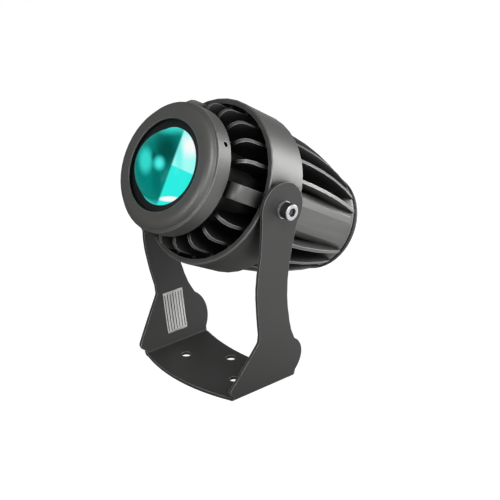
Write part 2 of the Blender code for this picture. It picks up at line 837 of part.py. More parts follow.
def make_light_engine():
    hole = board_screw_radius + bore_gap
    screw_holes = [circle(hole, side * board_screw_spread) for side in (-1, 1)]
    pad_place = Matrix.Translation((0.0, 0.0, pad_rear + pad_thickness / 2))
    pad_outline = [circle(board_radius - 0.4 * MM, steps=middle_steps)] + screw_holes
    pad = flat_piece("thermal_pad", pad_outline, pad_thickness, pad_place)
    finish_part(pad, pad_grey, head)
    board_place = Matrix.Translation((0.0, 0.0, board_rear + board_thickness / 2))
    board_outline = [circle(board_radius, steps=middle_steps)] + screw_holes
    board = flat_piece("led_board", board_outline, board_thickness, board_place)
    finish_part(board, board_white, head)
    base_low = board_front + seat_gap
    middle = base_low + emitter_base / 2
    emitter = box("led_emitter", (emitter_side, emitter_side, emitter_base), (0.0, 0.0, middle))
    emitter.parent = head
    base_top = base_low + emitter_base
    dome = [(0.0, base_top + emitter_dome)]
    for step in range(1, 6):
        angle = math.pi / 2 * step / 5
        dome.append((emitter_dome * math.sin(angle), base_top + emitter_dome * math.cos(angle)))
    dome.append((emitter_dome, base_low + emitter_base / 2))
    dome.append((0.0, base_low + emitter_base / 2))
    boolean(emitter, turned("emitter dome", dome, steps=screw_steps), "UNION")
    finish_part(emitter, led_yellow, head)
    for side, word in sides:
        under_head = (side * board_screw_spread, 0.0, board_front + seat_gap)
        screw = pan_screw(
            "led_board_screw_" + word, under_head, board_screw_radius, board_screw_length,
            board_screw_head, board_screw_head_height
        )
        finish_part(screw, steel, head)
    make_leads()


def pan_screw(name, under_head, radius, length, head_radius, head_height, facing=1):
    """Screw with a low round head, along the beam axis."""
    x, y, z = under_head
    profile = [(0.0, head_height), (0.6 * head_radius, head_height), (head_radius, 0.55 * head_height)]
    profile += [(head_radius, 0.0), (radius, 0.0), (radius, -length), (0.0, -length)]
    screw = turned(name, profile, steps=screw_steps)
    flip = Matrix.Identity(4) if facing > 0 else Matrix.Rotation(math.pi, 4, "X")
    return applied(screw, Matrix.Translation((x, y, z)) @ flip)


def make_leads():
    """Two leads from the light engine, through the bulkhead, to the driver's terminals."""
    terminal_top = driver_board_top + seat_gap + terminal_size[1]
    terminal_middle = driver_board_start - terminal_size[2] / 2 - terminal_inset
    for side, word in sides:
        x = side * lead_spacing / 2
        in_hole = 0.75 * x
        above_board = board_front + seat_gap + lead_radius
        # A lead's points stay as chosen: over the board, down its hole and back to the terminal.
        route = [
            Vector((x, lead_start, above_board)),
            Vector((x, lead_crest, above_board)),
            Vector((x, lead_hole_offset - 0.8 * MM, above_board - 1.2 * MM)),
            Vector((in_hole, lead_hole_offset, bulkhead_front - 2.0 * MM)),
            Vector((in_hole, lead_hole_offset, bulkhead_rear - 1.0 * MM)),
            Vector((x, lead_hole_offset - 2.6 * MM, terminal_middle + 4.0 * MM)),
            Vector((x, terminal_top + 4.0 * MM, terminal_middle + 0.6 * MM)),
            Vector((x, terminal_top + seat_gap, terminal_middle)),
        ]
        finish_part(wire("led_lead_" + word, smooth_path(route, 2), lead_radius), lead_red, head)


def smooth_path(points, between):
    """Points on a smooth curve through the given ones."""
    ends = [2 * points[0] - points[1]] + points + [2 * points[-1] - points[-2]]
    path = []
    for p0, p1, p2, p3 in zip(ends, ends[1:], ends[2:], ends[3:]):
        for step in range(between):
            t = step / between
            curve = 2 * p1 + (p2 - p0) * t + (2 * p0 - 5 * p1 + 4 * p2 - p3) * t ** 2
            curve += (3 * p1 - p0 - 3 * p2 + p3) * t ** 3
            path.append(curve / 2)
    path.append(points[-1])
    return path


def wire(name, path, radius):
    curve = bpy.data.curves.new(name, "CURVE")
    curve.dimensions = "3D"
    curve.bevel_depth = radius
    curve.bevel_resolution = 1
    curve.use_fill_caps = True
    spline = curve.splines.new("POLY")
    spline.points.add(len(path) - 1)
    for point, place in zip(spline.points, path):
        point.co = (*place, 1.0)
    thing = bpy.data.objects.new(name, curve)
    cutters.objects.link(thing)
    return welded(applied(thing))


def make_driver():
    outer = rear_chamber - bore_gap
    inner = outer - cradle_wall
    rise = cradle_rise
    board_under = -driver_board_drop - seat_gap
    edge = math.sqrt(inner ** 2 - board_under ** 2)
    section = rounded_corner((0.0, 0.0), outer, 180.0 + rise, 360.0 - rise, 14)
    right_angle = -math.degrees(math.asin(-board_under / inner))
    low_angle = -math.degrees(math.asin((-board_under + ledge_height) / inner))
    section += rounded_corner((0.0, 0.0), inner, -rise, right_angle, 2)
    section += [(edge - ledge_width, board_under), (edge - ledge_width, board_under - ledge_height)]
    section += rounded_corner((0.0, 0.0), inner, low_angle, -180.0 - low_angle, 12)
    section += [(ledge_width - edge, board_under - ledge_height), (ledge_width - edge, board_under)]
    section += rounded_corner((0.0, 0.0), inner, -180.0 - right_angle, -180.0 + rise, 2)
    place = Matrix.Translation((0.0, 0.0, (cradle_front + cradle_rear) / 2))
    finish_part(flat_piece("driver_cradle", [corners(section)], cradle_length, place), grey_plastic, head)
    board_middle = driver_board_start - driver_board_length / 2
    board = box(
        "driver_board", (2 * driver_board_half_width, driver_board_thickness, driver_board_length),
        (0.0, driver_board_top - driver_board_thickness / 2, board_middle)
    )
    finish_part(board, board_green, head)
    top = driver_board_top + seat_gap
    far_end = driver_board_start - driver_board_length + terminal_size[2] + 2 * terminal_inset
    for station, word in ((driver_board_start, "output"), (far_end, "input")):
        centre = (0.0, top + terminal_size[1] / 2, station - terminal_size[2] / 2 - terminal_inset)
        finish_part(box("driver_terminal_" + word, terminal_size, centre), terminal_green, head)
    station = driver_board_start - transformer_setback
    transformer = box("driver_transformer", core_size, (0.0, top + core_size[1] / 2, station))
    transformer.parent = head
    winding = box("winding", winding_size, (0.0, top + winding_lift + winding_size[1] / 2, station))
    boolean(transformer, winding, "UNION")
    finish_part(transformer, transformer_yellow, head)
    for side, word in sides:
        x = side * (driver_board_half_width - capacitor_radius - capacitor_inset)
        z = driver_board_start - capacitor_setback
        can = rod("driver_capacitor_" + word, capacitor_radius, (x, top, z), (x, top + capacitor_height, z))
        finish_part(can, capacitor_black, head)
    x = driver_board_half_width - inductor_radius - inductor_inset
    z = driver_board_start - inductor_setback
    low = inductor_height - inductor_rim
    profile = [
        (0.0, 0.0),
        (inductor_radius, 0.0),
        (inductor_radius, -inductor_rim),
        (inductor_waist_radius, -inductor_rim),
        (inductor_waist_radius, -low),
        (inductor_radius, -low),
        (inductor_radius, -inductor_height),
        (0.0, -inductor_height),
    ]
    lift = Matrix.Translation((x, top + inductor_height, z)) @ Matrix.Rotation(-math.pi / 2, 4, "X")
    inductor = applied(turned("driver_inductor", profile, steps=hole_steps), lift)
    finish_part(inductor, ferrite, head)


def make_rear():
    holes = []
    for turn in range(3):
        place = polar(cover_screw_circle, third * turn, 0.0)
        holes.append(circle(cover_screw_radius + bore_gap, place.x, place.y))
    place = Matrix.Translation((0.0, 0.0, gasket_front - gasket_thickness / 2))
    outlines = [circle(gasket_radius, steps=fine_steps), circle(gasket_bore, steps=middle_steps)] + holes
    finish_part(flat_piece("rear_gasket", outlines, gasket_thickness, place), rubber, head)
    bore = gland_thread + bore_gap
    profile = [
        (bore, cover_front),
        (cover_radius - cover_front_edge, cover_front),
        (cover_radius, cover_front - cover_front_edge),
    ]
    round_centre = (cover_radius - cover_round, cover_rear + cover_round)
    profile += rounded_corner(round_centre, cover_round, 0.0, -90.0, 3)
    profile.append((bore, cover_rear))
    cover = turned("rear_cover", profile, closed=True)
    cover.parent = head
    cuts = []
    seat = cover_rear + cover_screw_head_height + cover_screw_sunk
    for turn in range(3):
        cuts.append(cover_screw_hole(third * turn, seat))
    boolean(cover, merged("cover holes", cuts), "DIFFERENCE")
    finish_part(cover, paint, head)
    for turn, word in enumerate(("right", "left_upper", "left_lower")):
        under_head = polar(cover_screw_circle, third * turn, seat - seat_gap)
        screw = pan_screw(
            "rear_cover_screw_" + word, under_head, cover_screw_radius, cover_screw_length,
            cover_screw_head, cover_screw_head_height, -1
        )
        finish_part(screw, steel, head)


def cover_screw_hole(angle, seat):
    """Stepped hole for a cover screw: clearance bore and head recess."""
    hole = cover_screw_radius + bore_gap
    recess = cover_screw_head + bore_gap
    cut = turned("cover screw hole", [
        (0.0, cover_front + 1.0 * MM),
        (hole, cover_front + 1.0 * MM),
        (hole, seat),
        (recess, seat),
        (recess, cover_rear - 1.0 * MM),
        (0.0, cover_rear - 1.0 * MM),
    ], steps=screw_steps)
    return applied(cut, Matrix.Translation(polar(cover_screw_circle, angle, 0.0)))


def make_gland():
    hex_front = cover_rear - seat_gap
    hex_rear = hex_front - gland_hex_thickness
    body = rod("cable_gland_body", gland_hex, (0.0, 0.0, hex_front), (0.0, 0.0, hex_rear), 6)
    body.parent = head
    spigot_end = hex_rear - gland_spigot
    thread_front = cover_front + gland_inner_thread
    thread_ends = ((0.0, 0.0, thread_front), (0.0, 0.0, spigot_end))
    boolean(body, rod("gland thread", gland_thread, *thread_ends, small_steps, 0.03), "UNION")
    bore_ends = ((0.0, 0.0, thread_front + 1.0 * MM), (0.0, 0.0, spigot_end - 1.0 * MM))
    boolean(body, rod("gland bore", gland_bore, *bore_ends, small_steps), "DIFFERENCE")
    finish_part(body, gland_plastic, head)
    nut_front = hex_rear - seat_gap
    nut_rear = nut_front - gland_nut_length
    bore = gland_thread + bore_gap
    tip_bore = gland_bore + gland_tip_room
    seal_rear = spigot_end - seat_gap - gland_seal_length
    nut = turned("cable_gland_nut", [
        (bore, nut_front),
        (gland_nut_radius, nut_front),
        (gland_nut_radius, nut_front - gland_nut_straight),
        (gland_nut_radius - gland_nut_crown_drop, nut_front - gland_nut_crown),
        (tip_bore + gland_nut_wall, nut_rear),
        (tip_bore, nut_rear),
        (tip_bore, seal_rear - 2 * seat_gap),
        (bore, seal_rear - seat_gap),
    ], closed=True, steps=small_steps)
    finish_part(nut, gland_plastic, head)
    seal_profile = ring_profile(gland_bore, gland_thread - 0.1 * MM, seal_rear, spigot_end - seat_gap)
    seal = turned("cable_gland_seal", seal_profile, closed=True, steps=small_steps)
    finish_part(seal, rubber, head)
    locknut_rear = cover_front + seat_gap
    locknut_front = locknut_rear + locknut_thickness
    locknut = rod("cable_gland_locknut", gland_hex, (0.0, 0.0, locknut_rear), (0.0, 0.0, locknut_front), 6)
    locknut.parent = head
    through = rod(
        "locknut bore", bore, (0.0, 0.0, locknut_rear - 1.0 * MM), (0.0, 0.0, locknut_front + 1.0 * MM), small_steps
    )
    boolean(locknut, through, "DIFFERENCE")
    finish_part(locknut, gland_plastic, head)


def make_pivots():
    """Friction washer, lock washer and cap bolt on each side, along the tilt axis."""
    bore = bolt_radius + bore_gap
    for side, word in sides:
        turn = Matrix.Rotation(side * math.pi / 2, 4, "Y")
        start = pad_face + seat_gap
        washer = turned(
            "friction_washer_" + word, ring_profile(bore, pad_radius, start, start + friction_washer),
            closed=True, steps=small_steps
        )
        finish_part(applied(washer, turn), nylon, head)
        start = arm_outer + seat_gap
        lock = turned(
            "lock_washer_" + word, ring_profile(bore, lock_washer_radius, start, start + lock_washer),
            closed=True, steps=small_steps
        )
        split = (2 * lock_washer_radius, lock_washer_split, 3 * lock_washer)
        cut = box("split", split, (lock_washer_radius, 0.0, start + lock_washer / 2))
        boolean(lock, cut, "DIFFERENCE")
        finish_part(applied(lock, turn), steel, head)
        under_head = start + lock_washer + seat_gap
        bolt = turned("pivot_bolt_" + word, [
            (0.0, under_head + bolt_head),
            (bolt_head_radius - bolt_head_edge, under_head + bolt_head),
            (bolt_head_radius, under_head + bolt_head - bolt_head_edge),
            (bolt_head_radius, under_head),
            (bolt_radius, under_head),
            (bolt_radius, arm_outer - bolt_length),
            (0.0, arm_outer - bolt_length),
        ], steps=small_steps)
        socket_low = (0.0, 0.0, under_head + bolt_head - bolt_socket_depth)
        socket_high = (0.0, 0.0, under_head + bolt_head + 1.0 * MM)
        boolean(bolt, rod("socket", bolt_socket, socket_low, socket_high, 6), "DIFFERENCE")
        finish_part(applied(bolt, turn), black_steel, head)


clear_scene()
parts = new_collection("led_pinspot_light")
cutters = new_collection("cutters")

paint = make_material("textured anthracite paint", (0.085, 0.085, 0.082), 0.55, 0.2)
black_plastic = make_material("black plastic", (0.015, 0.014, 0.014), 0.5, 0.0)
grey_plastic = make_material("grey plastic", (0.25, 0.26, 0.27), 0.6, 0.0)
gland_plastic = make_material("gland polyamide", (0.02, 0.02, 0.02), 0.55, 0.0)
nylon = make_material("nylon", (0.03, 0.03, 0.03), 0.6, 0.0)
rubber = make_material("rubber", (0.01, 0.01, 0.01), 0.75, 0.0)
steel = make_material("zinc plated steel", (0.62, 0.62, 0.63), 0.3, 1.0)
black_steel = make_material("blackened steel", (0.06, 0.06, 0.062), 0.35, 0.8)
glass = make_material("lens glass", (0.05, 0.75, 0.72), 0.05, 0.0)
pad_grey = make_material("thermal pad", (0.4, 0.42, 0.45), 0.8, 0.0)
board_white = make_material("white board", (0.85, 0.86, 0.84), 0.4, 0.0)
board_green = make_material("green board", (0.03, 0.2, 0.07), 0.4, 0.0)
led_yellow = make_material("emitter", (0.25, 0.95, 0.88), 0.2, 0.0)
lead_red = make_material("lead insulation", (0.5, 0.03, 0.02), 0.5, 0.0)
terminal_green = make_material("terminal plastic", (0.05, 0.3, 0.12), 0.5, 0.0)
transformer_yellow = make_material("transformer tape", (0.75, 0.55, 0.08), 0.5, 0.0)
capacitor_black = make_material("capacitor sleeve", (0.02, 0.02, 0.025), 0.35, 0.0)
ferrite = make_material("ferrite", (0.04, 0.04, 0.045), 0.6, 0.0)

head = bpy.data.objects.new("head tilt axis", None)
parts.objects.link(head)
head.location = (0.0, 0.0, pivot_height)
head.rotation_euler = (tilt_turn, 0.0, 0.0)

make_bracket()
make_heat_sink()
make_bezel()
make_set_screw()
make_optics()
make_light_engine()
make_driver()
make_rear()
make_gland()
make_pivots()
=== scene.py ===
import math
from functools import partial

import bmesh
import bpy
from mathutils import Matrix, Vector


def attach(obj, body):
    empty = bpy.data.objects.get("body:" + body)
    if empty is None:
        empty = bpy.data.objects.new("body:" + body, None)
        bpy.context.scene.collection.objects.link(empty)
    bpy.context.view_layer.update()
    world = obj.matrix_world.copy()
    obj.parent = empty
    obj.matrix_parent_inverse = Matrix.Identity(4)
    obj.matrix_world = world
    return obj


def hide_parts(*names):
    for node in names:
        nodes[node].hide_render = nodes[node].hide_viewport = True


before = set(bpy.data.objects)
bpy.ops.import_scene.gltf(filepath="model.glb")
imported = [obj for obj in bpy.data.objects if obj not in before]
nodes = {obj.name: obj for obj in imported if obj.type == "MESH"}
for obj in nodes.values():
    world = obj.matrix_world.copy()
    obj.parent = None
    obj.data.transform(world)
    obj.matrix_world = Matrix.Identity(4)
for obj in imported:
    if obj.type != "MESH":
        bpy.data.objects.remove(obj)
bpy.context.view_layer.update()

mm = 0.001

# the head's own axes at rest: across, up and along the beam, from the tilt axis
headShape = {"pivotMm": 123.7, "restTilt": 28.0, "lensMiddleMm": 47.8}
restTilt = math.radians(headShape["restTilt"])
beam = Vector((0.0, -math.cos(restTilt), math.sin(restTilt)))
acrossBeam = Vector((0.0, math.sin(restTilt), math.cos(restTilt)))
headMatrix = Matrix((Vector((1, 0, 0)), acrossBeam, beam)).transposed().to_4x4()
headMatrix.translation = (0.0, 0.0, headShape["pivotMm"] * mm)
lensMiddle = headMatrix @ Vector((0.0, 0.0, headShape["lensMiddleMm"] * mm))
print("frame loaded:", len(nodes), "nodes")

# small helpers


def hexColour(code):
    # sRGB hex to the linear values that the shaders take
    parts = [int(code[i:i + 2], 16) / 255 for i in (1, 3, 5)]
    return [c / 12.92 if c <= 0.04045 else ((c + 0.055) / 1.055) ** 2.4 for c in parts] + [1.0]


def perMm(size):
    # texture scale that gives one feature every size millimetres in object coordinates
    return 1000.0 / size


def fill(node, values):
    # values of sockets, by name or number; a socket as a value makes a link
    for name, value in values.items():
        if isinstance(value, bpy.types.NodeSocket):
            node.id_data.links.new(value, node.inputs[name])
        else:
            node.inputs[name].default_value = value


def addNode(tree, kind, values=None, **settings):
    # one node, its settings and what its sockets hold
    made = tree.nodes.new("ShaderNode" + kind)
    for name, value in settings.items():
        setattr(made, name, value)
    fill(made, values or {})
    return made


def newMaterial(name):
    # the material, its shader, and addNode bound to its tree
    material = bpy.data.materials.new(name)
    material.use_nodes = True
    tree = material.node_tree
    tree.nodes.clear()
    add = partial(addNode, tree)
    shader = add("BsdfPrincipled")
    add("OutputMaterial", {"Surface": shader.outputs[0]})
    return material, shader, add


def layered(add, ground, *layers):
    # a ground colour with others laid over it in turn, each by its own share
    colour = hexColour(ground) if isinstance(ground, str) else ground
    for cover, share in layers:
        cover = hexColour(cover) if isinstance(cover, str) else cover
        colour = add("Mix", {"Factor": share, 6: colour, 7: cover}, data_type="RGBA").outputs[2]
    return colour


def atCorners(add, radiusMm, samples, wearAndHighlight):
    # a normal that rounds corners off, and how far a point lies on such a corner
    flat, sharp, most = wearAndHighlight
    rounded = add("Bevel", {"Radius": radiusMm * mm}, samples=samples).outputs[0]
    plain = add("NewGeometry").outputs["Normal"]
    facing = add("VectorMath", {0: rounded, 1: plain}, operation="DOT_PRODUCT").outputs["Value"]
    share = add("MapRange", {"Value": facing, "From Min": flat, "From Max": sharp, "To Max": most})
    return rounded, share.outputs[0]


# painted castings: pressure die-cast aluminium under wet-sprayed metallic anthracite
castingLook = {
    "paint": "#71716f",
    "paintDeep": "#686866",
    "edge": "#d2d1cf",
    # painted shade for the deep gaps between the fins
    "shade": "#1b1b1b",
    "metallic": 0.5,
    "roughness": (0.36, 0.5),
    "orangePeelMm": 0.9,   # finer on the real light; coarse enough here to show at this distance
    "peelDepthMm": 0.06,
    "peelShare": 0.25,
    "blotchMm": 26.0,
    "edgeRadiusMm": 0.45,
    "wornAndHighlitMm": 0.8,         # width of the thinner paint along corners and fin edges, also lightened there as a painted highlight
    "wearAndHighlight": (0.995, 0.85, 0.8),
    "gapShadeMm": 18.0,         # how near a facing wall must be for the gaps to get painted shade
    "gapShadeReach": (0.92, 0.5),
}
# the rear cover takes a darker and flatter copy of the casting paint, as painted shade
shadedCoverLook = {
    **castingLook,
    "paint": "#414140",
    "paintDeep": "#3a3a39",
    "edge": "#6a6a68",
    "metallic": 0.2,
    "roughness": (0.49, 0.63),
}


def paintedCasting(name, look):
    # flakes give a soft broad highlight, corners get thinner paint with a painted highlight, deep gaps
    # get painted shade, and the skin has orange peel
    material, shader, add = newMaterial(name)
    spot = add("TexCoord").outputs["Object"]
    blotch = add("TexNoise", {"Vector": spot, "Scale": perMm(look["blotchMm"]), "Detail": 3.0})
    peel = add("TexNoise", {"Vector": spot, "Scale": perMm(look["orangePeelMm"]), "Detail": 4.0})
    rounded = add("Bevel", {"Radius": look["edgeRadiusMm"] * mm}, samples=6)
    # corners and fin edges lighter: thinner paint, and a painted edge highlight
    wornAndHighlit = atCorners(add, look["wornAndHighlitMm"], 8, look["wearAndHighlight"])[1]
    nearby = add("AmbientOcclusion", {"Distance": look["gapShadeMm"] * mm}, samples=8)
    # painted shade: the colour turns to the shade colour where ambient occlusion finds a wall close by
    paintedGapShade = add("MapRange", {
        "Value": nearby.outputs["AO"], "From Min": look["gapShadeReach"][0], "From Max": look["gapShadeReach"][1]
    })
    bump = add("Bump", {
        "Strength": look["peelShare"], "Distance": look["peelDepthMm"] * mm,
        "Height": peel.outputs["Fac"], "Normal": rounded.outputs[0]
    })
    gloss = add("MapRange", {
        "Value": peel.outputs["Fac"], "To Min": look["roughness"][0], "To Max": look["roughness"][1]
    })
    colour = layered(
        add, look["paintDeep"], (look["paint"], blotch.outputs["Fac"]),
        (look["edge"], wornAndHighlit), (look["shade"], paintedGapShade.outputs[0])
    )
    fill(shader, {
        "Base Color": colour, "Metallic": look["metallic"],
        "Roughness": gloss.outputs[0], "Normal": bump.outputs[0]
    })
    return material


# bracket: cut and bent steel sheet under fine-textured anthracite powder coat
powderLook = {
    "paint": "#444443",
    "paintDeep": "#3c3c3b",
    # lighter cut edges: thinner powder, and a painted edge highlight
    "edge": "#c0c0be",
    "metallic": 0.15,
    "roughness": (0.42, 0.6),
    "grainMm": 0.7,        # a real grain is about 0.3 mm
    "grainDepthMm": 0.06,
    "grainShare": 0.4,
    "blotchMm": 45.0,
    "edgeRadiusMm": 0.5,
    "wearAndHighlight": (0.99, 0.84, 0.9),
}


def powderCoat(look):
    # baked powder flows into a fine leathery grain with a dull sheen, a little thinner along cut edges,
    # which are also painted lighter as a highlight
    material, shader, add = newMaterial("textured powder coat on steel sheet")
    spot = add("TexCoord").outputs["Object"]
    blotch = add("TexNoise", {"Vector": spot, "Scale": perMm(look["blotchMm"]), "Detail": 2.0})
    grain = add("TexNoise", {
        "Vector": spot, "Scale": perMm(look["grainMm"]), "Detail": 3.0, "Roughness": 0.6
    })
    rounded, thinAndHighlit = atCorners(add, look["edgeRadiusMm"], 6, look["wearAndHighlight"])
    bump = add("Bump", {
        "Strength": look["grainShare"], "Distance": look["grainDepthMm"] * mm,
        "Height": grain.outputs["Fac"], "Normal": rounded
    })
    gloss = add("MapRange", {
        "Value": grain.outputs["Fac"], "To Min": look["roughness"][0], "To Max": look["roughness"][1]
    })
    colour = layered(
        add, look["paintDeep"], (look["paint"], blotch.outputs["Fac"]), (look["edge"], thinAndHighlit)
    )
    fill(shader, {
        "Base Color": colour, "Metallic": look["metallic"],
        "Roughness": gloss.outputs[0], "Normal": bump.outputs[0]
    })
    return material


# bolts: turned steel, blackened in hot oxide, bright at the end face and where a tool has rubbed
blackBoltLook = {
    "steel": "#6c6c6f",
    "bright": "#c2c3c4",
    "roughness": (0.28, 0.46),
    "speckleMm": 1.5,
    "cornerMm": 0.5,
    "wearAndHighlight": (0.99, 0.9, 0.9),
    "faceDepthMm": 0.4,
}


def blackenedSteel(look):
    # near-black sides that mirror a little, and a bare metal ring round the socket
    material, shader, add = newMaterial("black oxide on turned steel")
    boltEnd = max(corner.co.x for corner in nodes["pivot_bolt_right"].data.vertices)
    faceAt = boltEnd - look["faceDepthMm"] * mm
    spot = add("TexCoord").outputs["Object"]
    speckle = add("TexNoise", {"Vector": spot, "Scale": perMm(look["speckleMm"]), "Detail": 4.0})
    rounded, rubbed = atCorners(add, look["cornerMm"], 8, look["wearAndHighlight"])
    along = add("SeparateXYZ", {0: spot}).outputs["X"]
    outward = add("Math", {0: along}, operation="ABSOLUTE").outputs[0]
    atFace = add("Math", {0: outward, 1: faceAt}, operation="GREATER_THAN").outputs[0]
    bare = add("Math", {0: rubbed, 1: atFace}, operation="MAXIMUM").outputs[0]
    gloss = add("MapRange", {
        "Value": speckle.outputs["Fac"], "To Min": look["roughness"][0], "To Max": look["roughness"][1]
    })
    fill(shader, {
        "Base Color": layered(add, look["steel"], (look["bright"], bare)), "Metallic": 1.0,
        "Roughness": gloss.outputs[0], "Normal": rounded
    })
    return material


# washers and small screws: steel under bright zinc plate
zincLook = {
    "zinc": "#dcdddf",
    "dull": "#bdbfc2",
    "roughness": (0.28, 0.46),
    "cloudMm": 2.0,
    "edgeRadiusMm": 0.2,
}


def zincPlate(look):
    # thin bright plate with faint cloudy crystals
    material, shader, add = newMaterial("bright zinc plate on steel")
    spot = add("TexCoord").outputs["Object"]
    cloud = add("TexNoise", {"Vector": spot, "Scale": perMm(look["cloudMm"]), "Detail": 5.0})
    gloss = add("MapRange", {
        "Value": cloud.outputs["Fac"], "To Min": look["roughness"][0], "To Max": look["roughness"][1]
    })
    rounded = add("Bevel", {"Radius": look["edgeRadiusMm"] * mm}, samples=6)
    fill(shader, {
        "Base Color": layered(add, look["dull"], (look["zinc"], cloud.outputs["Fac"])),
        "Metallic": 1.0, "Roughness": gloss.outputs[0], "Normal": rounded.outputs[0]
    })
    return material


# plastics, rubbers and boards: a base colour and a second tone in patches, then the roughness,
# the size of the grain in mm and how strongly it shows
mouldedLooks = {
    "moulded black polyamide": ("#121111", "#0c0c0c", 0.7, 0.8, 0.25),
    "EPDM rubber, die-cut": ("#0f0f0f", "#161616", 0.75, 0.6, 0.3),
    "black nylon washer": ("#1e1e1f", "#161617", 0.55, 0.8, 0.15),
    "gland polyamide, moulded": ("#222223", "#19191a", 0.48, 1.0, 0.3),
    "white solder mask": ("#e9ebe6", "#dfe2dd", 0.35, 1.2, 0.1),
    "green solder mask on glass epoxy": ("#1c6a33", "#124b24", 0.35, 1.6, 0.3),
    "silicone thermal pad": ("#9aa0a8", "#8c929a", 0.8, 0.5, 0.2),
    "clear silicone over chips": ("#b8f3ea", "#8fe9de", 0.15, 1.2, 0.05),
    "red silicone insulation": ("#b02a22", "#9c241d", 0.5, 0.8, 0.1),
    "grey ABS, moulded": ("#84878a", "#7a7d80", 0.6, 0.7, 0.25),
    "green PBT terminal": ("#2d8a4c", "#25763f", 0.45, 1.0, 0.15),
    "yellow polyester tape": ("#d9b23a", "#cfa52c", 0.35, 1.8, 0.2),
    "black shrink sleeve": ("#1a1b20", "#24252b", 0.3, 2.0, 0.1),
    "sintered ferrite": ("#3a3a3e", "#2e2e32", 0.6, 0.5, 0.3),
}
mouldedSkin = {"driftMm": 8.0, "grainDepthMm": 0.05, "smoother": 0.06, "rougher": 0.08}


def moulded(name, look, skin):
    # a skin copied from the tool: faint grain, and a slow drift of tone
    material, shader, add = newMaterial(name)
    base, second, rough, grainMm, grainShare = look
    spot = add("TexCoord").outputs["Object"]
    drift = add("TexNoise", {"Vector": spot, "Scale": perMm(skin["driftMm"]), "Detail": 3.0})
    grain = add("TexNoise", {"Vector": spot, "Scale": perMm(grainMm), "Detail": 3.0})
    bump = add("Bump", {
        "Strength": grainShare, "Distance": skin["grainDepthMm"] * mm, "Height": grain.outputs["Fac"]
    })
    gloss = add("MapRange", {
        "Value": grain.outputs["Fac"], "To Min": rough - skin["smoother"], "To Max": rough + skin["rougher"]
    })
    fill(shader, {
        "Base Color": layered(add, second, (base, drift.outputs["Fac"])),
        "Roughness": gloss.outputs[0], "Normal": bump.outputs[0]
    })
    return material


# lens: pressed borosilicate dome, polished, over the lit cyan light engine
lensLook = {
    "glass": "#021a19",
    "deep": "#003d38",
    "middle": "#00857c",
    "pale": "#33dccf",
    "rim": "#45cfc6",
    "chip": "#4af6ee",
    "upperPane": "#a4fff8",
    "lowerPane": "#2df2e6",
    # colour of the painted highlights
    "paintedGlint": "#ffffff",
    "glow": 0.95,
    "roughness": 0.18,
    "mirrored": 0.06,      # low, because the glass is coated
    "waveMm": 6.0,
    "waveDepthMm": 0.05,
    "waveShare": 0.1,
    "rimMm": (21.5, 23.6),
    "rimShare": 0.8,
    "streaks": 3.0,
    "streakShare": (0.4, 0.75, 0.25),
}
# places are in mm to the right of and above the lens's middle, as the front quarter sees it
lensLines = {              # slope to the right, slope upwards, distance and blur
    "halves": (0.9377, -0.3475, 2.8, 0.7),
    "panes": (0.4097, 0.912, 1.862, 0.4),
}
lensSpots = {              # middle, half width and height, blur and share
    "chip": (-4.0, 1.7, 2.6, 3.3, 0.75, 1.0),        # image of the chip
    "patch": (-12.0, 3.4, 3.6, 6.8, 0.55, 1.0),      # paler patch beside it
    "paintedShadow": (0.4, 9.5, 6.4, 8.6, 0.75, 0.9),         # painted shade, the darkest field above the chip
    "notch": (-7.0, 5.6, 1.3, 2.6, 0.75, 0.6),       # small dark gap between the chip and the patch
    "band": (-5.6, -8.5, 2.6, 8.5, 0.75, 0.35),      # faint dark band below them
    "paintedCrownLight": (3.5, 24.5, 9.0, 4.6, 0.7, 1.0),        # painted light caught along the top of the dark half
    "sheen": (14.5, 11.5, 5.0, 5.4, 0.8, 1.0),       # painted white highlight on the upper pane
    "strip": (7.6, 6.5, 1.9, 10.0, 0.9, 0.6),        # painted shade, a cooler strip beside the dividing line
    "paintedGlint": (1.6, -19.3, 5.6, 1.5, 0.35, 1.0),      # painted highlight near the lower edge
}


